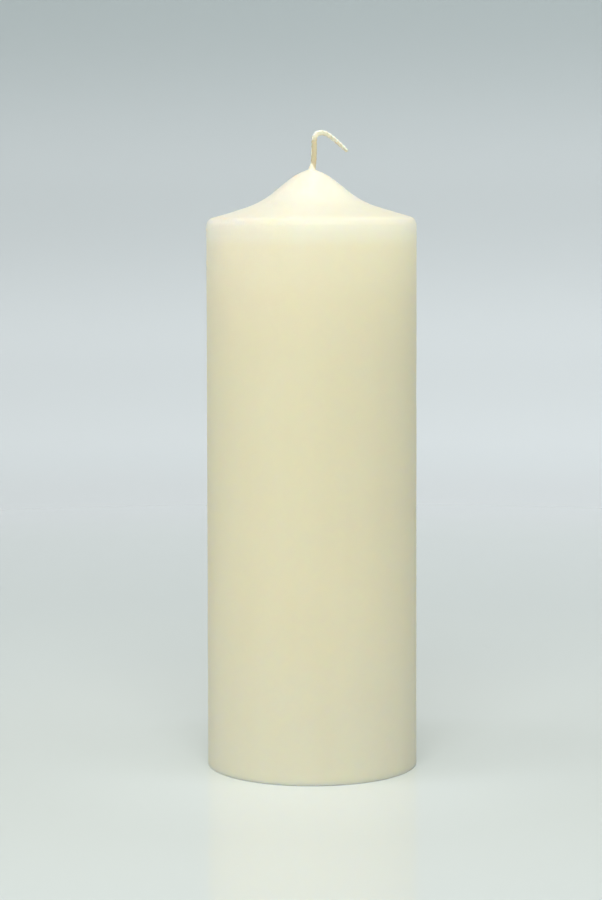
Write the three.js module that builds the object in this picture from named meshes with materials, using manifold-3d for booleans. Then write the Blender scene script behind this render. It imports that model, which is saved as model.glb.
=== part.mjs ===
// A unity candle: an ivory pillar with a bell-shaped crown, and a wick that kinks and bends over.
// It is a pressed wax core dipped in a harder outer wax. The wick runs up a channel in the core, sealed
// with wax, from a tinplate sustainer that a ring of wax locks into a recess in the base.
// Millimetres, +Z up. The origin is the centre of the base, and the wick bends towards +X.

import * as THREE from "three";
import { mergeVertices } from "three/addons/utils/BufferGeometryUtils.js";
import Module from "manifold-3d";

const wasm = await Module();
wasm.setup();

// Pillar, a 70 x 200 mm stock size
const BASE_RADIUS = 35;
const SHOULDER_RADIUS = 34.6; // the dip drains downwards, so the foot is a little thicker
const SHOULDER_ROUND = 3;
const FOOT_ROUND = 0.25;

// Crown: a conical skirt with a bell on top
const SKIRT_HEIGHT = 191.65; // where the skirt's line would meet the axis
const SKIRT_SLOPE = 0.29;
const BELL_HEIGHT = 6.4;
const BELL_RADIUS = 12.5;
const BELL_POWER = 2.6; // above 2, the bell is flatter on top and steeper at its flank

// Wax layers
const SKIN_THICKNESS = 2;
const CHANNEL_RADIUS = 2.2;
const GAP = 0.25; // between a piece and its neighbour

// Wick: a flat plait
const WICK_HALF_WIDTH = 0.92;
const WICK_HALF_THICKNESS = 0.55;
const WICK_FOOT = new THREE.Vector3(0, 0, 2.4);
const WICK_ROUTE = [
  [0, 0, 191],
  [0.05, 0, 194.5],
  [0.35, 0, 197.3],
  [0.72, 0, 200],
  [0.9, 0, 203],
  [0.95, 0, 206.9],
  [1.05, 0, 208.2],
  [1.5, 0, 209],
  [2.5, 0.1, 209.6],
  [3.65, 0.2, 209.75],
  [4.85, 0.3, 209.4],
  [6.15, 0.4, 208.65],
  [8.8, 0.6, 206.5],
  [11.7, 0.7, 203.8],
].map((point) => new THREE.Vector3(...point));
const TWIST_START = 0.42; // fraction of the route where the plait starts to turn on itself
const TWIST_TURN = THREE.MathUtils.degToRad(60); // its turn by the tip

// Wax collar where the crown climbs the wick
const COLLAR = { x: 0.6, foot: 197.15, top: 199.35, footRadius: 2.4, topRadius: 1.35 };

// Recess in the base, and the sustainer in it
const RECESS_RADIUS = 12;
const RECESS_DEPTH = 2.4;
const SHEET = 0.3; // tinplate
const FLANGE_RADIUS = 10;
const RIB = { radius: 6.4, halfWidth: 0.9, height: 0.45 };
const NECK = { radius: 1.55, height: 7, flare: 0.5, crimp: 0.2 };
const BASE_SEAL = { innerRadius: 8.7, bottom: 0.5, lip: 0.4 };

// Resolution
const AROUND = 64;
const AROUND_SMALL = 32;
const CROWN_STEPS = 12;
const CROWN_GRADING = 1.3; // above 1, these steps are shorter near the axis, where the bell is
const ARC_STEPS = 4;
const WICK_SIDES = 12;
const WICK_STEPS = 36;

const surface = (color, roughness, metalness = 0) =>
  new THREE.MeshStandardMaterial({ color, roughness, metalness });
const HARD_WAX = surface(0xefe9cb, 0.4);
const PRESSED_WAX = surface(0xf2eedb, 0.75);
const SOFT_WAX = surface(0xe9e0bd, 0.5);
const COTTON = surface(0xe6d8b0, 0.9);
const TINPLATE = surface(0xc9cbcc, 0.35, 1);

// ---- Outlines: lists of points (radius, height) ----

const at = (radius, height) => new THREE.Vector2(radius, height);

// Height of the crown at a radius.
function crownHeight(radius) {
  const bell = BELL_HEIGHT * Math.exp(-((radius / BELL_RADIUS) ** BELL_POWER));
  return SKIRT_HEIGHT - SKIRT_SLOPE * radius + bell;
}

// The crown from a radius in to the axis, lowered by the wax above it.
function crownPoints(outerRadius, lowered) {
  return Array.from({ length: CROWN_STEPS + 1 }, (_, i) => {
    const radius = outerRadius * (1 - i / CROWN_STEPS) ** CROWN_GRADING;
    return at(radius, crownHeight(radius) - lowered);
  });
}

// The shoulder, from the side up: an arc that touches the side and the skirt.
function shoulderPoints() {
  const fall = Math.atan(SKIRT_SLOPE);
  const radius = SHOULDER_RADIUS - SHOULDER_ROUND;
  const height = crownHeight(radius) - SHOULDER_ROUND / Math.cos(fall);
  const arc = new THREE.Path().absarc(radius, height, SHOULDER_ROUND, 0, Math.PI / 2 - fall, false);
  return arc.getPoints(ARC_STEPS);
}

// Turns an outline round +Z. It starts and ends on the axis, with the solid on its left.
function turned(points, segments = AROUND) {
  return new THREE.LatheGeometry(points, segments).rotateX(Math.PI / 2);
}

// The same for an outline that closes on itself, which leaves a hole on the axis.
function turnedRing(points, segments = AROUND) {
  return turned([...points, points[0]], segments);
}

// ---- Cutting and joining ----

function toSolid(geometry) {
  const bare = geometry.clone();
  bare.deleteAttribute("normal");
  bare.deleteAttribute("uv");
  const merged = mergeVertices(bare, 1e-4);
  return new wasm.Manifold(
    new wasm.Mesh({
      numProp: 3,
      vertProperties: merged.getAttribute("position").array,
      triVerts: new Uint32Array(merged.index.array),
    }),
  );
}

function toGeometry(solid) {
  const mesh = solid.getMesh();
  const geometry = new THREE.BufferGeometry();
  geometry.setAttribute("position", new THREE.BufferAttribute(mesh.vertProperties, 3));
  geometry.setIndex(new THREE.BufferAttribute(mesh.triVerts, 1));
  return geometry;
}

// ---- Wick ----

// Place and heading of the wick at a fraction of its length above the straight run. Below 0, its foot.
const wickCurve = new THREE.CatmullRomCurve3(WICK_ROUTE);
function wickStation(fraction) {
  const centre = fraction < 0 ? WICK_FOOT : wickCurve.getPointAt(fraction);
  const heading = wickCurve.getTangentAt(Math.max(fraction, 0));
  const back = new THREE.Vector3(0, 1, 0);
  const across = new THREE.Vector3().crossVectors(back, heading).normalize();
  back.crossVectors(heading, across);
  const turn = TWIST_TURN * THREE.MathUtils.smoothstep(fraction, TWIST_START, 1);
  across.applyAxisAngle(heading, turn);
  back.applyAxisAngle(heading, turn);
  return { centre, across, back };
}

// The wick's oval, grown by a clearance: a straight extrusion, then laid along the wick's route.
function wickGeometry(clearance = 0) {
  const halfWidth = WICK_HALF_WIDTH + clearance;
  const halfThickness = WICK_HALF_THICKNESS + clearance;
  const oval = new THREE.Shape().absellipse(0, 0, halfWidth, halfThickness, 0, Math.PI * 2);
  const geometry = new THREE.ExtrudeGeometry(oval, {
    depth: WICK_STEPS,
    steps: WICK_STEPS,
    curveSegments: WICK_SIDES / 2,
    bevelEnabled: false,
  });
  const position = geometry.getAttribute("position");
  for (let i = 0; i < position.count; i++) {
    const step = Math.round(position.getZ(i));
    const { centre, across, back } = wickStation((step - 1) / (WICK_STEPS - 1));
    const point = centre.clone();
    point.addScaledVector(across, position.getX(i));
    point.addScaledVector(back, position.getY(i));
    position.setXYZ(i, ...point);
  }
  return geometry;
}

// ---- Sub-parts ----

// The dipped skin over the core, open below. Its crown rises to a collar round the wick.
function outerWaxSkin() {
  const insideRadius = SHOULDER_RADIUS - SKIN_THICKNESS;
  const inside = crownPoints(insideRadius, SKIN_THICKNESS).reverse();
  const footCentre = BASE_RADIUS - FOOT_ROUND;
  const foot = new THREE.Path().absarc(footCentre, FOOT_ROUND, FOOT_ROUND, -Math.PI / 2, 0, false);
  const shoulder = shoulderPoints();
  const outside = crownPoints(shoulder.at(-1).x, 0).slice(1);
  const lining = [...inside, at(insideRadius, 0)];
  const skin = turned([...lining, ...foot.getPoints(ARC_STEPS), ...shoulder, ...outside]);
  const { x, foot: low, top, footRadius, topRadius } = COLLAR;
  const collar = turned([at(0, low), at(footRadius, low), at(topRadius, top), at(0, top)], AROUND_SMALL);
  collar.translate(x, 0, 0);
  return toGeometry(toSolid(skin).add(toSolid(collar)).subtract(toSolid(wickGeometry(GAP))));
}

// A pressed cylinder with its own crown, a channel for the wick and a recess in the base.
function pressedCore() {
  const radius = SHOULDER_RADIUS - SKIN_THICKNESS - GAP;
  const lowered = SKIN_THICKNESS + GAP;
  const crown = crownPoints(radius, lowered).filter((point) => point.x > CHANNEL_RADIUS);
  return turnedRing([
    at(CHANNEL_RADIUS, RECESS_DEPTH),
    at(RECESS_RADIUS, RECESS_DEPTH),
    at(RECESS_RADIUS, 0),
    at(radius, 0),
    ...crown,
    at(CHANNEL_RADIUS, crownHeight(CHANNEL_RADIUS) - lowered),
  ]);
}

// The wax in the core's channel, from the sustainer's neck to the top of the core, round the wick.
function channelSeal() {
  const radius = CHANNEL_RADIUS - GAP;
  const bottom = RECESS_DEPTH + NECK.height + GAP;
  const top = crownHeight(CHANNEL_RADIUS) - SKIN_THICKNESS - GAP;
  const plug = turned([at(0, bottom), at(radius, bottom), at(radius, top), at(0, top)], AROUND_SMALL);
  return toGeometry(toSolid(plug).subtract(toSolid(wickGeometry(GAP))));
}

// A disc of tinplate with a stiffening rib, drawn up into a neck that is crimped on the wick.
function wickSustainer() {
  const top = RECESS_DEPTH - GAP;
  const bottom = top - SHEET;
  const neckTop = RECESS_DEPTH + NECK.height;
  const { radius, flare, crimp } = NECK;
  const bore = radius - SHEET;
  const ribInside = RIB.radius - RIB.halfWidth;
  const ribOutside = RIB.radius + RIB.halfWidth;
  return turnedRing(
    [
      at(bore + flare, bottom),
      at(ribInside, bottom),
      at(RIB.radius, bottom - RIB.height),
      at(ribOutside, bottom),
      at(FLANGE_RADIUS, bottom),
      at(FLANGE_RADIUS, top),
      at(ribOutside, top),
      at(RIB.radius, top - RIB.height),
      at(ribInside, top),
      at(radius + flare, top),
      at(radius, top + flare),
      at(radius - crimp, neckTop - flare),
      at(radius - crimp, neckTop),
      at(bore - crimp, neckTop),
      at(bore - crimp, neckTop - flare),
      at(bore, bottom + flare),
    ],
    AROUND_SMALL,
  );
}

// The ring of wax in the recess that covers the edge of the sustainer's flange.
function baseSeal() {
  const outside = RECESS_RADIUS - GAP;
  const ceiling = RECESS_DEPTH - GAP;
  const underFlange = ceiling - SHEET - GAP;
  const besideFlange = FLANGE_RADIUS + GAP;
  const { innerRadius, bottom, lip } = BASE_SEAL;
  return turnedRing([
    at(innerRadius + lip, bottom + lip / 2),
    at(outside - lip, bottom),
    at(outside, bottom - lip / 2),
    at(outside, ceiling),
    at(besideFlange, ceiling),
    at(besideFlange, underFlange),
    at(innerRadius, underFlange),
    at(innerRadius, bottom + lip),
  ]);
}

const candle = new THREE.Group();
candle.name = "unity_candle";

function addPart(name, geometry, material) {
  const mesh = new THREE.Mesh(geometry, material);
  mesh.name = name;
  candle.add(mesh);
}

addPart("outer_wax_skin", outerWaxSkin(), HARD_WAX);
addPart("pressed_core", pressedCore(), PRESSED_WAX);
addPart("channel_seal", channelSeal(), SOFT_WAX);
addPart("base_seal", baseSeal(), SOFT_WAX);
addPart("wick_sustainer", wickSustainer(), TINPLATE);
addPart("wick", wickGeometry(), COTTON);

export default candle;
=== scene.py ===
"""A unity candle on a pale glossy table: an ivory pillar with a bell-shaped crown and a bent wick.

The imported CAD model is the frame. Its pieces, all but the enclosed channel seal, are remade here as fine
meshes in the same places. The look comes from geometry, procedural materials and soft studio light.
Outlines and routes are in millimetres, as in the CAD. Meshes, lights and the camera are in metres.
"""

import math
import random

import bpy
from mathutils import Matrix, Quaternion, Vector, noise


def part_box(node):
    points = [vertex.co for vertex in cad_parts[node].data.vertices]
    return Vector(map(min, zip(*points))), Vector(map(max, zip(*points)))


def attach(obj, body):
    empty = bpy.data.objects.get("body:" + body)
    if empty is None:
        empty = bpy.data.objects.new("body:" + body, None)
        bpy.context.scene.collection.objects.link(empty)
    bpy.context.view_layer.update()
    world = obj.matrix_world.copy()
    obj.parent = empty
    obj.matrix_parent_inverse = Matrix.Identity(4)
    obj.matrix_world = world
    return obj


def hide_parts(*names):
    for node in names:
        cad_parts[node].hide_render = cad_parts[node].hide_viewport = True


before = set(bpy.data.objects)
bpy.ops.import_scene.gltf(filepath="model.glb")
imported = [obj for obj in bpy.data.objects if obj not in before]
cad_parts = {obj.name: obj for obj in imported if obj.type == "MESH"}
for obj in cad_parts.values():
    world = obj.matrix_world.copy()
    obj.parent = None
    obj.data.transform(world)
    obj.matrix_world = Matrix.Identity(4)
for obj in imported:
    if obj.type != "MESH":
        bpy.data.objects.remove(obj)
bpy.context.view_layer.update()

MM = 0.001


def extent(node):
    """The outer radius, the lowest and the highest z of a CAD node, in millimetres."""
    low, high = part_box(node)
    return high.y / MM, low.z / MM, high.z / MM


# Wax, in millimetres. The crown is a conical skirt with a bell on top, as in the CAD.
BASE_RADIUS = extent("outer_wax_skin")[0]
SHOULDER_RADIUS = 34.6
SHOULDER_ROUND = 3.0
FOOT_ROUND = 0.25
SKIRT_HEIGHT = 191.65
SKIRT_SLOPE = 0.29
BELL_HEIGHT = 6.4
BELL_RADIUS = 12.5
BELL_POWER = 2.6
SKIN_THICKNESS = 2.0
GAP = 0.25
CORE_RADIUS = extent("pressed_core")[0]
CHANNEL_RADIUS = 2.2
RECESS_RADIUS = 12.0
RECESS_DEPTH = 2.4
RECESS_ROUND = 0.4

# Sustainer and the ring of wax round it, in millimetres
SHEET = 0.3
NECK_INNER_RADIUS = 1.25
NECK_OUTER_RADIUS = 1.55
NECK_FLARE_INSIDE = 0.55
NECK_FLARE_OUTSIDE = 0.5
RIB_RADIUS = 6.4
RIB_HALF_WIDTH = 1.1
RIB_DEPTH = 0.45
FLANGE_FLAT_RADIUS = 9
DIMPLE_RADIUS = 8.5
SEAL_OVERLAP_RADIUS = 10.25  # where the ring rises past the flange's edge
SEAL_INNER_RADIUS = 8.75
SEAL_LIP = 0.4
SEAL_THICKNESS = 0.55  # over the top of the flange

# Wick, in millimetres
WICK_HALF_WIDTH = 0.92
WICK_FOOT = Vector((0, 0, extent("wick")[1]))
WICK_ROUTE = [
    (0, 0, 191),
    (0.05, 0, 194.5),
    (0.35, 0, 197.3),
    (0.72, 0, 200),
    (0.9, 0, 203),
    (0.95, 0, 206.9),
    (1.05, 0, 208.2),
    (1.5, 0, 209.0),
    (2.5, 0.1, 209.6),
    (3.65, 0.2, 209.75),
    (4.85, 0.3, 209.4),
    (6.15, 0.4, 208.65),
    (8.8, 0.6, 206.5),
    (11.7, 0.7, 203.8),
]
TWIST_START = 0.42  # as a share of the way along WICK_ROUTE
TWIST_TURN = 60  # degrees, from there to the tip
WICK_LEAN = 0.65  # how far the wick stands to +X where it leaves the wax

# ---- Meshes ----

AROUND = 288  # segments round the axis
AROUND_SMALL = 96
CROWN_STEP = 0.6
FINE_RADIUS = 5  # inside it the crown has fine steps, for the fillet at the wick
FINE_STEP = 0.12
SIDE_STEP = 2
HIDDEN_STEP = 6  # where no light falls


def mesh_piece(name, vertices, faces, node, material):
    """A smooth piece that stands for a CAD node, from vertices in millimetres."""
    mesh = bpy.data.meshes.new(name)
    mesh.from_pydata([Vector(v) * MM for v in vertices], [], faces)
    mesh.shade_smooth()
    mesh.materials.append(material)
    piece = bpy.data.objects.new(name, mesh)
    bpy.context.scene.collection.objects.link(piece)
    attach(piece, "root")
    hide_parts(node)
    return piece


def lathe(outline, segments, closed=False, reshape=None):
    """Vertices and faces of an outline of (radius, z) turned round +Z, with the solid on its left.

    The outline starts and ends on the axis, or closes on itself. reshape moves each vertex.
    """
    vertices, rings = [], []
    for radius, z in outline:
        count = segments if radius > 0 else 1
        rings.append(range(len(vertices), len(vertices) + count))
        for i in range(count):
            angle = math.tau * i / segments
            vertices.append(Vector((radius * math.cos(angle), radius * math.sin(angle), z)))
    if reshape:
        vertices = [reshape(vertex) for vertex in vertices]
    following = rings[1:] + rings[:1] if closed else rings[1:]
    faces = []
    for ring, after in zip(rings, following):
        for i in range(segments):
            j = (i + 1) % segments
            near = [ring[i % len(ring)], ring[j % len(ring)]]
            far = [after[j % len(after)], after[i % len(after)]]
            faces.append(list(dict.fromkeys(near + far)))
    return vertices, faces


def steps(start, end, size):
    """Evenly spaced numbers from start to end, about size apart, with both ends."""
    count = max(1, round(abs(end - start) / size))
    return [start + (end - start) * i / count for i in range(count + 1)]


def arc(radius, z, size, start, end, count):
    """Points on an arc round (radius, z), between two angles in degrees."""
    angles = [math.radians(start + (end - start) * i / count) for i in range(count + 1)]
    return [(radius + size * math.cos(a), z + size * math.sin(a)) for a in angles]


# ---- Wax shapes ----


def crown_height(radius):
    bell = BELL_HEIGHT * math.exp(-((radius / BELL_RADIUS) ** BELL_POWER))
    return SKIRT_HEIGHT - SKIRT_SLOPE * radius + bell


def crown(outer, lowered, inner=0.0):
    """A crown's outline from a radius in towards the axis, with fine steps near the wick."""
    radii = steps(outer, FINE_RADIUS, CROWN_STEP)[:-1] + steps(FINE_RADIUS, 0, FINE_STEP)
    return [(r, crown_height(r) - lowered) for r in radii if r >= inner]


def smoothstep(value, low, high):
    t = min(max((value - low) / (high - low), 0), 1)
    return t * t * (3 - 2 * t)


CROWN_TILT = 0.0063  # the crown was pressed a little out of true
CLIMB = 1.65  # how far the wax climbs the wick's left side
CLIMB_REACH = 0.85  # how far from the wick it starts to climb
CLIMB_CURVE = 1.5  # above 1, the fillet is hollow
WICK_SPREAD = 0.6  # half the depth of the wick, front to back, as the fillet sees it
WICK_SCALE = 0.75  # about half a wick's width, as a mean of all directions
WAVE = 0.05  # height of the slow waves that dipping leaves
SLOW_WAVE = 17  # length of these waves
QUICK_WAVE = 5  # length of lower waves on top of them
SHOULDER_TOP = 184  # the height where the crown's own shape has taken over from the side's


def dipped(point):
    """Moves a point of the outer wax as dipping does: slow waves, and a fillet that climbs the wick."""
    wave = WAVE * noise.noise(point / SLOW_WAVE) + WAVE / 3 * noise.noise(point / QUICK_WAVE)
    radius = math.hypot(point.x, point.y)
    on_crown = smoothstep(point.z, crown_height(SHOULDER_RADIUS) - SHOULDER_ROUND, SHOULDER_TOP)
    outward = Vector((point.x, point.y, 0)).normalized()
    moved = point + outward * (wave - WAVE) * (1 - on_crown)
    moved.z += on_crown * (CROWN_TILT * point.x + wave)
    across, back = point.x - WICK_LEAN, point.y
    distance = max(math.hypot(across / WICK_HALF_WIDTH, back / WICK_SPREAD) - 1, 0) * WICK_SCALE
    left = 0.5 - 0.5 * Vector((across, back)).normalized().x
    if point.z > crown_height(radius) - SKIN_THICKNESS / 2:
        moved.z += CLIMB * left * max(1 - distance / CLIMB_REACH, 0) ** CLIMB_CURVE
    return moved


def outer_wax_skin():
    """The dipped skin: a shell that is open below."""
    inside_radius = SHOULDER_RADIUS - SKIN_THICKNESS
    fall = math.degrees(math.atan(SKIRT_SLOPE))
    centre = SHOULDER_RADIUS - SHOULDER_ROUND
    shoulder_z = crown_height(centre) - SHOULDER_ROUND / math.cos(math.radians(fall))
    inside = crown(inside_radius, SKIN_THICKNESS)[::-1]
    lining = [(inside_radius, z) for z in steps(inside[-1][1], 0, HIDDEN_STEP)[1:]]
    foot = arc(BASE_RADIUS - FOOT_ROUND, FOOT_ROUND, FOOT_ROUND, -90, 0, count=8)
    heights = steps(FOOT_ROUND, shoulder_z, SIDE_STEP)[1:-1]
    taper = (BASE_RADIUS - SHOULDER_RADIUS) / (shoulder_z - FOOT_ROUND)
    side = [(BASE_RADIUS - taper * (z - FOOT_ROUND), z) for z in heights]
    shoulder = arc(centre, shoulder_z, SHOULDER_ROUND, 0, 90 - fall, count=14)
    outside = crown(shoulder[-1][0], 0)[1:]
    return lathe(inside + lining + foot + side + shoulder + outside, AROUND, reshape=dipped)


CHANNEL_STEP = 20
WALL_STEP = 0.5
BASE_STEP = 0.4
CORE_BEVEL = 0.3
GRANULE_SIZE = 1.3
JOINT_DEPTH = 0.12  # of the grooves between granules
JOINT_WIDTH = 0.35  # as a share of a granule
GRANULAR_MARGIN = 0.5  # how far above such a face a vertex still moves with it


def pressed_core():
    """The pressed granules under the skin, with the channel for the wick and the recess in the base."""
    lowered = SKIN_THICKNESS + GAP
    edge = RECESS_RADIUS + RECESS_ROUND
    crown_points = crown(CORE_RADIUS, lowered, CHANNEL_RADIUS)
    channel = [(CHANNEL_RADIUS, z) for z in steps(crown_points[-1][1], RECESS_DEPTH, CHANNEL_STEP)]
    ceiling = [(r, RECESS_DEPTH) for r in steps(CHANNEL_RADIUS, RECESS_RADIUS, CROWN_STEP)[1:-1]]
    wall = [(RECESS_RADIUS, z) for z in steps(RECESS_DEPTH, RECESS_ROUND, WALL_STEP)[:-1]]
    lip = arc(edge, RECESS_ROUND, RECESS_ROUND, 180, 270, count=4)
    base = [(r, 0) for r in steps(edge, CORE_RADIUS - CORE_BEVEL, BASE_STEP)[1:]]
    side = [(CORE_RADIUS, z) for z in steps(CORE_BEVEL, crown_points[0][1], HIDDEN_STEP)[:-1]]
    return lathe(channel + ceiling + wall + lip + base + side + crown_points, AROUND, True, granular)


def granular(point):
    """Sinks grooves between the granules in the core's base face and in the ceiling of its recess."""
    in_recess = math.hypot(point.x, point.y) < RECESS_RADIUS + RECESS_ROUND
    face_height = RECESS_DEPTH if in_recess else 0
    if point.z > face_height + GRANULAR_MARGIN:
        return point
    distances = noise.voronoi(Vector((point.x, point.y, 0)) / GRANULE_SIZE)[0]
    edge = distances[1] - distances[0]
    return point + Vector((0, 0, JOINT_DEPTH * (1 - smoothstep(edge, 0, JOINT_WIDTH))))


SEAL_HOLLOW = 0.012  # how fast its surface curves, per millimetre
SEAL_LOWEST_RADIUS = 10.4
SEAL_LIFT = 0.2  # of its surface there, above the CAD's
SEAL_INNER_LIFT = 0.35
SEAL_OUTER_LIFT = 0.3
SEAL_RADII = steps(9.4, 11.4, 0.25)
SEAL_CREEP = 0.35  # how far the inner edge wanders
CREEP_DETAIL = 2.2
CREEP_FULL_RADIUS = 8.6
CREEP_END_RADIUS = 10.2
SEAL_RIPPLE = 0.06
RIPPLE_LENGTH = 2
POURED_TOP = RECESS_DEPTH - 0.8  # above this the ring touches the flange, and keeps its shape


def base_seal():
    """The poured ring of wax over the edge of the sustainer's flange, with an uneven inner edge."""
    outside, low, high = extent("base_seal")
    under_flange = high - SEAL_THICKNESS
    lip_radius = SEAL_INNER_RADIUS + SEAL_LIP
    section = [
        (SEAL_OVERLAP_RADIUS, high),
        (SEAL_OVERLAP_RADIUS, under_flange),
        (SEAL_INNER_RADIUS, under_flange),
        *arc(lip_radius, low + SEAL_INNER_LIFT + SEAL_LIP, SEAL_LIP, 180, 255, count=6),
        *[(r, low + SEAL_LIFT + SEAL_HOLLOW * (r - SEAL_LOWEST_RADIUS) ** 2) for r in SEAL_RADII],
        (outside, low + SEAL_OUTER_LIFT),
        (outside, high),
    ]
    return lathe(section, AROUND, True, poured)


def poured(point):
    """The uneven edge and surface of wax poured by hand."""
    if point.z > POURED_TOP:
        return point
    radius = math.hypot(point.x, point.y)
    outward = Vector((point.x, point.y, 0)) / radius
    inner = 1 - smoothstep(radius, CREEP_FULL_RADIUS, CREEP_END_RADIUS)
    creep = SEAL_CREEP * noise.noise(outward * CREEP_DETAIL) * inner
    ripple = SEAL_RIPPLE * noise.noise(point / RIPPLE_LENGTH)
    return point + outward * creep + Vector((0, 0, ripple))


RIB_STEP = 0.2
NECK_STEP = 0.25


def wick_sustainer():
    """The stamped tinplate disc: rolled rim, stiffening rib, and a neck crimped on the wick."""
    rim, _, neck_top = extent("wick_sustainer")
    top = RECESS_DEPTH - GAP
    bottom = top - SHEET
    inside, outside = NECK_FLARE_INSIDE, NECK_FLARE_OUTSIDE
    radii = steps(RIB_RADIUS - RIB_HALF_WIDTH, RIB_RADIUS + RIB_HALF_WIDTH, RIB_STEP)
    dips = [-RIB_DEPTH * math.cos(math.pi / 2 * (r - RIB_RADIUS) / RIB_HALF_WIDTH) ** 2 for r in radii]
    under = [(r, bottom + dip) for r, dip in zip(radii, dips)]
    over = [(r, top + dip) for r, dip in zip(radii, dips)][::-1]
    edge = arc(rim - SHEET / 2, bottom + SHEET / 2, SHEET / 2, -90, 90, count=6)
    flange = under + [(FLANGE_FLAT_RADIUS, bottom)] + edge + [(FLANGE_FLAT_RADIUS, top)] + over
    flare_in = arc(NECK_INNER_RADIUS + inside, bottom + inside, inside, 180, 270, count=8)
    flare_out = arc(NECK_OUTER_RADIUS + outside, top + outside, outside, 270, 180, count=8)
    outer_neck = [(NECK_OUTER_RADIUS, z) for z in steps(top + outside, neck_top, NECK_STEP)[1:]]
    inner_neck = [(NECK_INNER_RADIUS, z) for z in steps(neck_top, bottom + inside, NECK_STEP)[:-1]]
    section = flare_in + flange + flare_out + outer_neck + inner_neck
    return lathe(section, AROUND_SMALL, True, crimped)


CRIMP = 0.32  # how far the neck is squeezed, as a share of its radius
CRIMP_BULGE = 0.25  # how much of that it gains the other way
CRIMP_STARTS = (4.2, 5.2)  # heights between which the squeeze sets in
CRIMP_ENDS = (7.2, 8.2)
DIMPLE_WIDTH = 0.5
DIMPLE_LENGTH = 0.55
DIMPLE_DEPTH = 0.22


def crimped(point):
    """Squeezes the neck on to the wick from two sides, and stamps four dimples in the flange."""
    radius = math.hypot(point.x, point.y)
    if radius < NECK_OUTER_RADIUS + NECK_FLARE_OUTSIDE:
        squeeze = CRIMP * smoothstep(point.z, *CRIMP_STARTS) * (1 - smoothstep(point.z, *CRIMP_ENDS))
        return Vector((point.x * (1 + CRIMP_BULGE * squeeze), point.y * (1 - squeeze), point.z))
    angle = math.atan2(point.y, point.x) + math.pi / 4
    along = radius * ((angle + math.pi / 4) % (math.pi / 2) - math.pi / 4)
    outward = radius - DIMPLE_RADIUS
    dimple = math.exp(-((along / DIMPLE_WIDTH) ** 2)) * math.exp(-((outward / DIMPLE_LENGTH) ** 2))
    return point + Vector((0, 0, -DIMPLE_DEPTH * dimple))


# ---- Wick ----

STRANDS = 3
STRAND_HALF_WIDTH = 0.34
STRAND_HALF_THICKNESS = 0.21
PLAIT_WIDTH = WICK_HALF_WIDTH - STRAND_HALF_WIDTH  # how far a strand swings to each side, and back
PLAIT_DEPTH = 0.26
PLAIT_PITCH = 4.6
YARNS = 6  # ridges round a strand
YARN_RELIEF = 0.09  # height of a ridge, as a share of the strand's radius
YARN_TWIST = 1.9  # radians per millimetre
STRAND_SIDES = 24
STRAND_STEP = 0.11
BURIED_STEP = 0.7  # inside the wax, where no strand shows
BURIED_START = 0.5  # where the strands start, from the wick's foot
EXPOSED_START = 2  # where the fine steps start, from the first point of WICK_ROUTE


def smooth_route(points, between=24):
    """Points on a centripetal Catmull-Rom curve through the given ones, as in the CAD."""
    ends = [2 * points[0] - points[1], *points, 2 * points[-1] - points[-2]]
    route = []
    for a, b, c, d in zip(ends, ends[1:], ends[2:], ends[3:]):
        before, here, after = ((q - p).length ** 0.5 for p, q in ((a, b), (b, c), (c, d)))
        leave = ((b - a) / before - (c - a) / (before + here) + (c - b) / here) * here
        arrive = ((c - b) / here - (d - b) / (here + after) + (d - c) / after) * here
        for i in range(between):
            t = i / between
            bend = (3 * c - 3 * b - 2 * leave - arrive) * t**2 + (2 * b - 2 * c + leave + arrive) * t**3
            route.append(b + leave * t + bend)
    return [*route, points[-1]]


class Route:
    """The wick's centre line from its foot, with the directions across and behind the flat plait."""

    def __init__(self):
        above = smooth_route([Vector(point) for point in WICK_ROUTE])
        self.points = [WICK_FOOT, *above]
        self.reach = [0.0]
        for a, b in zip(self.points, self.points[1:]):
            self.reach.append(self.reach[-1] + (b - a).length)
        self.length = self.reach[-1]
        self.bend_start = self.reach[1]

    def at(self, distance):
        """(centre, heading, across, back) at a distance along the wick."""
        i = 0
        while i < len(self.reach) - 2 and self.reach[i + 1] < distance:
            i += 1
        a, b = self.points[i], self.points[i + 1]
        centre = a.lerp(b, (distance - self.reach[i]) / (self.reach[i + 1] - self.reach[i]))
        before = self.points[i - 2] if i > 2 else a
        after = self.points[min(i + 3, len(self.points) - 1)] if i > 2 else b
        heading = (after - before).normalized()
        across = Vector((0, 1, 0)).cross(heading).normalized()
        fraction = (distance - self.bend_start) / (self.length - self.bend_start)
        turn = Quaternion(heading, math.radians(TWIST_TURN) * smoothstep(fraction, TWIST_START, 1))
        across = turn @ across
        return centre, heading, across, heading.cross(across)


def tube(sections):
    """Vertices and faces of a closed tube through rings of points."""
    sides = len(sections[0])
    vertices = [point for section in sections for point in section]
    faces = [list(range(sides))[::-1]]
    for low in range(0, len(vertices) - sides, sides):
        for i in range(sides):
            j = (i + 1) % sides
            faces.append([low + i, low + j, low + sides + j, low + sides + i])
    faces.append(list(range(len(vertices) - sides, len(vertices))))
    return vertices, faces


def ring(centre, side, back, sides, ridges=0, ridge_turn=0.0):
    """An oval of points. side and back are its half axes, and ridges ripple its edge."""
    points = []
    for i in range(sides):
        angle = math.tau * i / sides
        size = 1 + (YARN_RELIEF * math.cos(ridges * (angle + ridge_turn)) if ridges else 0)
        points.append(centre + size * (side * math.cos(angle) + back * math.sin(angle)))
    return points


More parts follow.
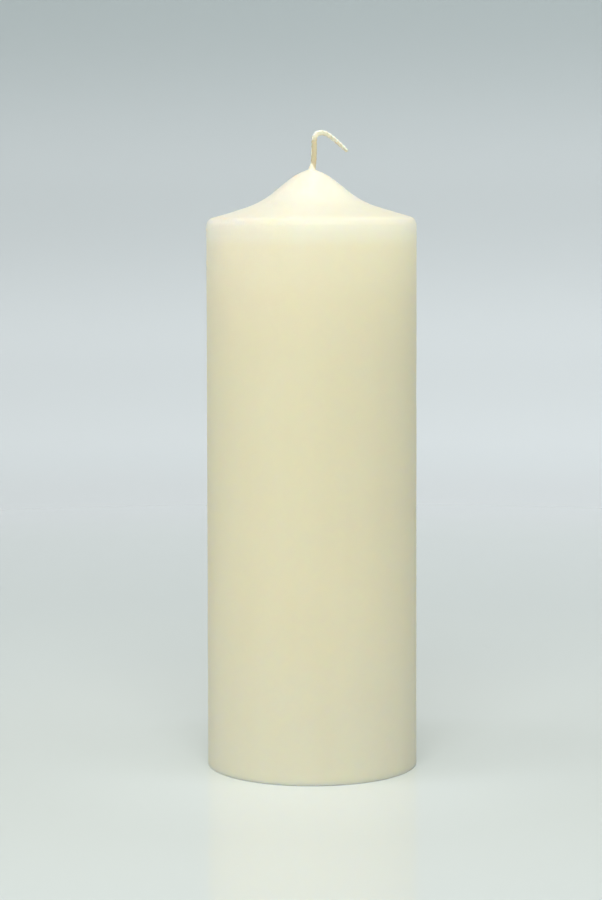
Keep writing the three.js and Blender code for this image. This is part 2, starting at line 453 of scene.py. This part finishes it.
def strand_sections(route, phase, end):
    """Rings along one strand of the flat plait. The stretch inside the wax has few."""
    exposed = route.bend_start + EXPOSED_START
    distances = steps(BURIED_START, exposed, BURIED_STEP)[:-1] + steps(exposed, end, STRAND_STEP)
    rate = math.tau / PLAIT_PITCH
    sections = []
    for distance in distances:
        centre, heading, across, back = route.at(distance)
        turn = math.tau * distance / PLAIT_PITCH + phase
        swing = PLAIT_WIDTH * math.sin(turn) * across + PLAIT_DEPTH * math.sin(2 * turn) * back
        drift = PLAIT_WIDTH * math.cos(turn) * across + 2 * PLAIT_DEPTH * math.cos(2 * turn) * back
        along = (heading + rate * drift).normalized()
        outward = (back - back.dot(along) * along).normalized()
        side = STRAND_HALF_WIDTH * outward.cross(along)
        front = STRAND_HALF_THICKNESS * outward
        sections.append(ring(centre + swing, side, front, STRAND_SIDES, YARNS, YARN_TWIST * distance))
    return sections


FIBRES = 9  # at the end of each strand
FIBRE_RADIUS = 0.035
FIBRE_LENGTHS = (0.15, 0.6)
FIBRE_PLACES = (0.2, 0.9)  # from the middle of the strand, as a share of its radius
FIBRE_SPLAY = (0.1, 0.7)
FIBRE_ROOT = 0.1  # how deep a fibre starts inside the strand
FIBRE_BEND = 0.06
FIBRE_SIDES = 6


def frayed_ends(section, heading, draw):
    """Loose fibres that stand out of the cut end of a strand."""
    centre = sum(section, Vector()) / len(section)
    side = heading.orthogonal().normalized() * FIBRE_RADIUS
    back = heading.cross(side)
    parts = []
    for _ in range(FIBRES):
        root = centre.lerp(draw.choice(section), draw.uniform(*FIBRE_PLACES))
        splay = (root - centre).normalized() * draw.uniform(*FIBRE_SPLAY)
        end = root + (heading + splay) * draw.uniform(*FIBRE_LENGTHS)
        middle = root.lerp(end, 0.5) + splay * FIBRE_BEND
        low = ring(root - heading * FIBRE_ROOT, side, back, FIBRE_SIDES)
        bent = ring(middle, side, back, FIBRE_SIDES)
        tip = ring(end, side / 2, back / 2, FIBRE_SIDES)
        parts.append(tube([low, bent, tip]))
    return parts


def joined(parts):
    """Several sets of vertices and faces as one."""
    vertices, faces = [], []
    for more_vertices, more_faces in parts:
        start = len(vertices)
        vertices.extend(more_vertices)
        faces.extend([[start + corner for corner in face] for face in more_faces])
    return vertices, faces


FRAY_SEED = 4
STRAND_ENDS = (-0.35, -0.05)  # from the route's end


def wick_strands(route):
    """The three strands, each with its frayed end."""
    draw = random.Random(FRAY_SEED)
    for number in range(STRANDS):
        end = route.length + draw.uniform(*STRAND_ENDS)
        sections = strand_sections(route, math.tau * number / STRANDS, end)
        heading = route.at(end)[1]
        yield joined([tube(sections), *frayed_ends(sections[-1], heading, draw)])


COAT = 0.95  # width of the wax, as a share of the plait's
COAT_DEPTH = 0.04  # how much more of the plait's depth it takes up than of its width
COAT_THINNING = 0.06  # how much thinner it is past the kink
COAT_THINS = (0.4, 0.52)  # where it thins, as shares of the way along WICK_ROUTE
COAT_ROUGHNESS = 0.06
COAT_LUMPS = 1.4  # per millimetre
COAT_START = 3  # from the first point of WICK_ROUTE, still inside the wax
COAT_CUT = 0.1  # how far it stops short of the route's end
COAT_STEP = 0.15
COAT_SIDES = 20


def priming_wax(route):
    """The wax that the wick was primed with. It fills the plait, and is thinner on the arm."""
    sections = []
    for distance in steps(route.bend_start + COAT_START, route.length - COAT_CUT, COAT_STEP):
        centre, _, across, back = route.at(distance)
        fraction = (distance - route.bend_start) / (route.length - route.bend_start)
        coat = COAT - COAT_THINNING * smoothstep(fraction, *COAT_THINS)
        rough = COAT_ROUGHNESS * noise.noise(centre * COAT_LUMPS)
        half_width = WICK_HALF_WIDTH * (coat + rough)
        half_depth = (PLAIT_DEPTH + STRAND_HALF_THICKNESS) * (coat + COAT_DEPTH + rough)
        sections.append(ring(centre, half_width * across, half_depth * back, COAT_SIDES))
    return tube(sections)


# ---- Materials ----


def material(name, **shader):
    """A new material, with values for its Principled shader. In the names, _ stands for a space."""
    made = bpy.data.materials.new(name)
    made.use_nodes = True
    for socket, value in shader.items():
        shader_of(made).inputs[socket.replace("_", " ")].default_value = value
    return made


def shader_of(owner):
    return owner.node_tree.nodes["Principled BSDF"]


def node(owner, kind, settings=None, **inputs):
    """A shader node. An input is a value or another node's output. In the names, _ stands for a space."""
    made = owner.node_tree.nodes.new("ShaderNode" + kind)
    for name, value in (settings or {}).items():
        setattr(made, name, value)
    for name, value in inputs.items():
        set_input(owner, made.inputs[name.replace("_", " ")], value)
    return made


def set_input(owner, socket, value):
    if isinstance(value, bpy.types.NodeSocket):
        owner.node_tree.links.new(value, socket)
    else:
        socket.default_value = value


def coordinates(owner, stretch=(1, 1, 1)):
    """The place in the object, in metres, scaled along each axis by stretch."""
    place = node(owner, "TexCoord").outputs["Object"]
    return node(owner, "Mapping", Vector=place, Scale=stretch).outputs["Vector"]


def noise_of(owner, size, detail=2.0, stretch=(1, 1, 1), roughness=0.5):
    """Noise from 0 to 1, with features of about a size in millimetres."""
    vector = coordinates(owner, stretch)
    scale = 1 / (size * MM)
    made = node(owner, "TexNoise", Vector=vector, Scale=scale, Detail=detail, Roughness=roughness)
    return made.outputs["Fac"]


def remap(owner, value, low, high, to_low, to_high):
    inputs = {"Value": value, "From_Min": low, "From_Max": high, "To_Min": to_low, "To_Max": to_high}
    return node(owner, "MapRange", **inputs).outputs["Result"]


def mixed(owner, factor, first, second):
    """A mix of two colours. A colour is (red, green, blue) or a node's output."""
    made = node(owner, "Mix", {"data_type": "RGBA"})
    for index, value in ((0, factor), (6, first), (7, second)):
        set_input(owner, made.inputs[index], (*value, 1) if isinstance(value, tuple) else value)
    return made.outputs[2]


def colour_ramp(owner, value, colours):
    """A smooth run of colours, from a list of (value, colour)."""
    last = colours[-1][0]
    ramp = node(owner, "ValToRGB", Fac=math_of(owner, "DIVIDE", value, last))
    ramp.color_ramp.interpolation = "EASE"
    stops = ramp.color_ramp.elements
    while len(stops) < len(colours):
        stops.new(0.5)
    for stop, (place, colour) in zip(stops, colours):
        stop.position = place / last
        stop.color = (*colour, 1)
    return ramp.outputs["Color"]


def cells_of(owner, size, feature="F1"):
    """The Voronoi cells of a size in millimetres, as a node."""
    return node(owner, "TexVoronoi", {"feature": feature}, Vector=coordinates(owner), Scale=1 / (size * MM))


def math_of(owner, operation, first, second):
    made = node(owner, "Math", {"operation": operation})
    set_input(owner, made.inputs[0], first)
    set_input(owner, made.inputs[1], second)
    return made.outputs[0]


def bumps(owner, layers):
    """Bumps in layers of (height from 0 to 1, depth in millimetres)."""
    normal = None
    for height, depth in layers:
        made = node(owner, "Bump", Height=height, Distance=depth * MM)
        if normal:
            set_input(owner, made.inputs["Normal"], normal)
        normal = made.outputs["Normal"]
    set_input(owner, shader_of(owner).inputs["Normal"], normal)


def finish_material(owner, colour, roughness):
    set_input(owner, shader_of(owner).inputs["Base Color"], colour)
    set_input(owner, shader_of(owner).inputs["Roughness"], roughness)


# Colours of the outer wax by height, in millimetres, with painted light in them. It is palest in the crown
# and in a band under the shoulder: painted glow, as if light from above came through the wax. The darker
# line at the shoulder is painted shade that tones down the lit shoulder. The less yellow foot is painted
# bounce light from the table.
WAX_AND_PAINTED_LIGHT_COLOURS = [
    (0, (0.735, 0.70, 0.552)),
    (70, (0.77, 0.706, 0.515)),
    (125, (0.77, 0.705, 0.508)),
    (155, (0.775, 0.70, 0.508)),
    (165, (0.788, 0.714, 0.53)),
    (172, (0.80, 0.722, 0.54)),
    (177, (0.822, 0.765, 0.625)),
    (179.3, (0.835, 0.785, 0.66)),
    (181.2, (0.75, 0.712, 0.6)),
    (182.6, (0.815, 0.768, 0.602)),
    (190, (0.84, 0.785, 0.635)),
]
CLOUD = (0.65, 0.57, 0.35)
SPECK = (0.42, 0.33, 0.2)
SPECK_SPACING = 9
SPECK_RARITY = 0.8  # the share of the cells that have no speck
WAX_GLOW = (1.0, 0.78, 0.42)  # how far red, green and blue light spread in the wax, by comparison
GLOW_DEPTH = 4
FILLET_GLOW_DEPTH = 0.8
WAX_IOR = 1.44


def outer_wax():
    """Satin ivory wax: faint clouds and drain streaks, a few specks, and a softly uneven gloss. Its colour
    by height holds painted glow, painted shade and painted bounce light.
    """
    made = material("outer_wax", Specular_IOR_Level=0.12, Subsurface_Weight=1.0, Subsurface_Radius=WAX_GLOW)
    clouds = noise_of(made, 26, 3)
    streaks = noise_of(made, 9, 2, (1, 1, 0.08))
    tone = math_of(made, "MULTIPLY", clouds, streaks)
    height = node(made, "SeparateXYZ", Vector=coordinates(made)).outputs["Z"]
    # The colours by height carry painted light: glow under the shoulder and in the crown, shade at the
    # shoulder, bounce light at the foot.
    wax = colour_ramp(made, math_of(made, "DIVIDE", height, MM), WAX_AND_PAINTED_LIGHT_COLOURS)
    wax = mixed(made, remap(made, tone, 0.1, 0.4, 0, 0.1), wax, CLOUD)
    fillet_start, fillet_end = 197 * MM, 198.5 * MM
    depth = remap(made, height, fillet_start, fillet_end, GLOW_DEPTH * MM, FILLET_GLOW_DEPTH * MM)
    set_input(made, shader_of(made).inputs["Subsurface Scale"], depth)
    cells = cells_of(made, SPECK_SPACING)
    rare = remap(made, cells.outputs["Color"], SPECK_RARITY, SPECK_RARITY + 0.01, 0, 1)
    near = remap(made, cells.outputs["Distance"], 0.015, 0.04, 0.75, 0)
    wax = mixed(made, math_of(made, "MULTIPLY", rare, near), wax, SPECK)
    satin = remap(made, noise_of(made, 6, 3), 0.3, 0.7, 0.42, 0.54)
    polished = remap(made, height, 176 * MM, 179.5 * MM, 0, 0.12)
    finish_material(made, wax, math_of(made, "SUBTRACT", satin, polished))
    bumps(made, [(noise_of(made, 3.5, 2), 0.02), (noise_of(made, 0.6, 3), 0.006)])
    return made


def pressed_wax():
    """Matt pressed granules, each a slightly different shade, with paler joints."""
    made = material(
        "pressed_wax",
        IOR=WAX_IOR,
        Subsurface_Weight=1.0,
        Subsurface_Radius=WAX_GLOW,
        Subsurface_Scale=GLOW_DEPTH * MM,
    )
    own_shade = remap(made, cells_of(made, GRANULE_SIZE).outputs["Color"], 0, 1, 0, 1)
    granule = mixed(made, own_shade, (0.86, 0.81, 0.64), (0.8, 0.74, 0.55))
    edge = cells_of(made, GRANULE_SIZE, "DISTANCE_TO_EDGE").outputs["Distance"]
    joint = remap(made, edge, 0.0, 0.12, 1, 0)
    wax = mixed(made, joint, granule, (0.88, 0.85, 0.74))
    finish_material(made, wax, remap(made, joint, 0, 1, 0.55, 0.8))
    bumps(made, [(remap(made, edge, 0, 0.3, 0, 1), 0.05), (noise_of(made, 0.4), 0.02)])
    return made


def seal_wax():
    """Poured wax, glossier and yellower, with small bubbles."""
    made = material(
        "seal_wax",
        IOR=WAX_IOR,
        Subsurface_Weight=1.0,
        Subsurface_Radius=(1.0, 0.75, 0.4),
        Subsurface_Scale=3 * MM,
    )
    wax = mixed(made, noise_of(made, 3, 3), (0.84, 0.76, 0.52), (0.78, 0.69, 0.45))
    pits = remap(made, cells_of(made, 0.9).outputs["Distance"], 0.05, 0.16, 0, 1)
    finish_material(made, wax, remap(made, noise_of(made, 2), 0.3, 0.7, 0.22, 0.38))
    bumps(made, [(pits, 0.04), (noise_of(made, 2.5), 0.08)])
    return made


def tinplate():
    """Bright tinplate with rolling lines, a dull bloom and faint wax smears."""
    made = material("tinplate", Metallic=1.0)
    lines = noise_of(made, 0.5, 3, (1, 0.03, 1))
    bloom = noise_of(made, 4, 3)
    metal = mixed(made, remap(made, lines, 0.35, 0.65, 0, 1), (0.78, 0.79, 0.79), (0.62, 0.63, 0.64))
    metal = mixed(made, remap(made, bloom, 0.5, 0.75, 0, 0.7), metal, (0.55, 0.54, 0.5))
    finish_material(made, metal, remap(made, bloom, 0.3, 0.75, 0.2, 0.48))
    bumps(made, [(lines, 0.006), (noise_of(made, 1.5), 0.02)])
    return made


DIPPED_SLANT = 1.6  # how steeply the edge of the climbing wax falls to the right


def whitened(owner):
    """0 on the wick's straight stem, and 1 on the kink and the arm, where the bent wax has whitened."""
    place = node(owner, "SeparateXYZ", Vector=coordinates(owner))
    over = remap(owner, place.outputs["X"], 1.6 * MM, 2.8 * MM, 0, 1)
    up = remap(owner, place.outputs["Z"], 207.2 * MM, 208.6 * MM, 0, 1)
    return math_of(owner, "MAXIMUM", over, up)


def painted_top_light(owner):
    """1 where the kink and the arm face up, and 0 elsewhere: the mask of a painted highlight, as if lit
    from above.
    """
    facing = node(owner, "SeparateXYZ", Vector=node(owner, "TexCoord").outputs["Normal"]).outputs["Z"]
    return math_of(owner, "MULTIPLY", whitened(owner), remap(owner, facing, -0.1, 0.55, 0, 1))


def dipped_foot(owner):
    """1 low on the wick's left side, where the dipped wax thins out as it climbs."""
    place = node(owner, "SeparateXYZ", Vector=coordinates(owner))
    rightward = math_of(owner, "MULTIPLY", place.outputs["X"], DIPPED_SLANT)
    slanted = math_of(owner, "ADD", place.outputs["Z"], rightward)
    return remap(owner, slanted, 199.0 * MM, 200.7 * MM, 1, 0)


def wick_colour(owner, texture, stem, arm, top_light_colour, dipped):
    """The colours along the wick. stem and arm are pairs of shades, and the texture runs between them."""
    straight = mixed(owner, texture, *stem)
    colour = mixed(owner, whitened(owner), straight, mixed(owner, texture, *arm))
    # Painted highlight: where the kink and the arm face up, the colour is paler, as if lit from above.
    colour = mixed(owner, painted_top_light(owner), colour, top_light_colour)
    return mixed(owner, dipped_foot(owner), colour, dipped)


def waxed_cotton():
    """Cotton yarn soaked with wax, tan in the stem and cream in the arm, with darker grooves, and a painted
    highlight where the kink and the arm face up.
    """
    made = material("waxed_cotton", IOR=1.45, Subsurface_Weight=0.2, Subsurface_Scale=0.3 * MM)
    fibres = noise_of(made, 0.12, 3, (1, 1, 0.35))
    stem = (0.42, 0.35, 0.215), (0.52, 0.455, 0.305)
    arm = (0.58, 0.535, 0.39), (0.69, 0.67, 0.54)
    cotton = wick_colour(made, fibres, stem, arm, top_light_colour=(0.84, 0.83, 0.73), dipped=(0.86, 0.8, 0.64))
    finish_material(made, cotton, remap(made, fibres, 0, 1, 0.5, 0.8))
    bumps(made, [(fibres, 0.03)])
    return made


def wick_wax():
    """The priming wax on the wick, clear and tan in the stem, and white where it was bent, with a painted
    highlight where the kink and the arm face up.
    """
    made = material("wick_wax", IOR=WAX_IOR, Subsurface_Weight=0.3, Subsurface_Scale=0.4 * MM)
    patches = noise_of(made, 0.7, 3)
    stem = (0.45, 0.385, 0.25), (0.50, 0.445, 0.305)
    arm = (0.62, 0.58, 0.45), (0.68, 0.66, 0.53)
    wax = wick_colour(made, patches, stem, arm, top_light_colour=(0.86, 0.85, 0.76), dipped=(0.88, 0.82, 0.66))
    finish_material(made, wax, remap(made, patches, 0.3, 0.7, 0.35, 0.55))
    bumps(made, [(noise_of(made, 0.3, 3), 0.03)])
    return made


# ---- Object ----

OUTER_WAX = outer_wax()
PRESSED_WAX = pressed_wax()
SEAL_WAX = seal_wax()
TINPLATE = tinplate()
WAXED_COTTON = waxed_cotton()
WICK_WAX = wick_wax()

mesh_piece("wax_skin", *outer_wax_skin(), "outer_wax_skin", OUTER_WAX)
mesh_piece("core", *pressed_core(), "pressed_core", PRESSED_WAX)
mesh_piece("poured_ring", *base_seal(), "base_seal", SEAL_WAX)
mesh_piece("sustainer_disc", *wick_sustainer(), "wick_sustainer", TINPLATE)
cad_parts["channel_seal"].data.materials.clear()
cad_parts["channel_seal"].data.materials.append(SEAL_WAX)

wick_route = Route()
for number, strand in enumerate(wick_strands(wick_route), 1):
    mesh_piece(f"wick_strand_{number}", *strand, "wick", WAXED_COTTON)
mesh_piece("wick_priming_wax", *priming_wax(wick_route), "wick", WICK_WAX)


# ---- Table, backdrop, light and camera ----

TABLE_RADIUS = 1050
TABLE_RINGS = (600, 200, 0)
COVE_RADIUS = 450
COVE_STEPS = 32
WALL_TOP = 650
BACKDROP_SEGMENTS = 128

# Colours of the backdrop, along the table from the candle and on up the wall, in metres. They carry painted
# light: the pale ring at the candle is painted light against its shadow on the table, and the pale band low
# on the wall and the darkening towards its top are painted light and shade.
SWEEP_AND_PAINTED_LIGHT_COLOURS = [
    (0.04, (0.835, 0.90, 0.88)),
    (0.11, (0.78, 0.84, 0.81)),
    (0.25, (0.755, 0.825, 0.81)),
    (0.37, (0.73, 0.80, 0.80)),
    (0.54, (0.72, 0.785, 0.80)),
    (0.75, (0.795, 0.85, 0.905)),
    (1.05, (0.845, 0.91, 0.97)),
    (1.35, (0.74, 0.80, 0.85)),
    (1.65, (0.58, 0.635, 0.67)),
    (1.90, (0.42, 0.48, 0.50)),
]


def backdrop():
    """A glossy white table that sweeps up into a pale blue-grey wall all round, with painted light and
    shade in its colour.
    """
    made = material("backdrop", IOR=1.5)
    place = coordinates(made)
    out = node(made, "VectorMath", {"operation": "LENGTH"}, Vector=coordinates(made, (1, 1, 0)))
    up = node(made, "SeparateXYZ", Vector=place).outputs["Z"]
    sweep = math_of(made, "ADD", out.outputs["Value"], up)
    # Painted light: paler round the candle and low on the wall, darker towards the top of the wall.
    paper_and_painted_light = colour_ramp(made, sweep, SWEEP_AND_PAINTED_LIGHT_COLOURS)
    finish_material(made, paper_and_painted_light, remap(made, sweep, 0.5, 1.1, 0.07, 0.6))
    outline = [(TABLE_RADIUS + COVE_RADIUS, WALL_TOP)]
    outline += arc(TABLE_RADIUS, COVE_RADIUS, COVE_RADIUS, 0, -90, count=COVE_STEPS)
    outline += [(r, 0) for r in TABLE_RINGS]
    vertices, faces = lathe(outline, BACKDROP_SEGMENTS)
    mesh = bpy.data.meshes.new("backdrop")
    mesh.from_pydata([vertex * MM for vertex in vertices], [], faces)
    mesh.shade_smooth()
    mesh.materials.append(made)
    floor = bpy.data.objects.new("backdrop", mesh)
    bpy.context.scene.collection.objects.link(floor)


def softbox(name, place, target, size, watts, colour=(1, 1, 1), spread=180):
    """An area light of (width, height), facing a target, in metres. Its beam's spread is in degrees."""
    light = bpy.data.lights.new(name, "AREA")
    light.shape = "RECTANGLE"
    light.size, light.size_y = size
    light.energy = watts
    light.color = colour
    light.spread = math.radians(spread)
    lamp = bpy.data.objects.new(name, light)
    lamp.location = place
    lamp.rotation_euler = (Vector(target) - Vector(place)).to_track_quat("-Z", "Y").to_euler()
    lamp.visible_camera = False
    bpy.context.scene.collection.objects.link(lamp)


CANDLE_MIDDLE = (0, 0, 0.12)
CANDLE_TIP = (0, 0, 0.215)
COOL = (0.95, 0.965, 1.16)
WARM = (1, 0.95, 0.8)

backdrop()
softbox("overhead", (-0.02, -0.07, 0.72), (-0.02, -0.03, 0.18), (0.36, 0.06), watts=0.92, colour=COOL)
softbox("front", (-0.05, -1.15, 0.85), CANDLE_MIDDLE, (0.9, 0.9), watts=9.8)
softbox("left", (-1.0, -0.4, 0.5), CANDLE_MIDDLE, (0.8, 0.8), watts=1.0, colour=WARM)
softbox("rim left", (-0.8, -0.45, 0.3), CANDLE_TIP, (0.06, 0.06), 0.0065, (1, 1, 0.93), spread=9)
softbox("rim right", (0.8, -0.45, 0.3), CANDLE_TIP, (0.06, 0.06), 0.009, (1, 1, 0.7), spread=9)
softbox("wall", (0.4, 0.5, 1.1), (0.4, 1.5, 0.65), (1.6, 0.4), watts=6.15)

WORLD_COLOUR = (1, 0.965, 0.855, 1)
WORLD_STRENGTH = 0.545

world = bpy.data.worlds.new("studio")
world.use_nodes = True
world.node_tree.nodes["Background"].inputs["Color"].default_value = WORLD_COLOUR
world.node_tree.nodes["Background"].inputs["Strength"].default_value = WORLD_STRENGTH
bpy.context.scene.world = world

CAMERA_PLACE = (-0.00358, -0.781, 0.1805)
CAMERA_PITCH = 5.5
CAMERA_ROLL = -0.118
LENS = 94.55

camera = bpy.data.cameras.new("camera")
camera.lens = LENS
camera.clip_start = 0.01
viewpoint = bpy.data.objects.new("camera", camera)
viewpoint.location = CAMERA_PLACE
level = Quaternion((1, 0, 0), math.radians(90 - CAMERA_PITCH))
viewpoint.rotation_euler = (level @ Quaternion((0, 0, 1), math.radians(CAMERA_ROLL))).to_euler()
bpy.context.scene.collection.objects.link(viewpoint)
bpy.context.scene.camera = viewpoint
bpy.context.scene.view_settings.view_transform = "Standard"
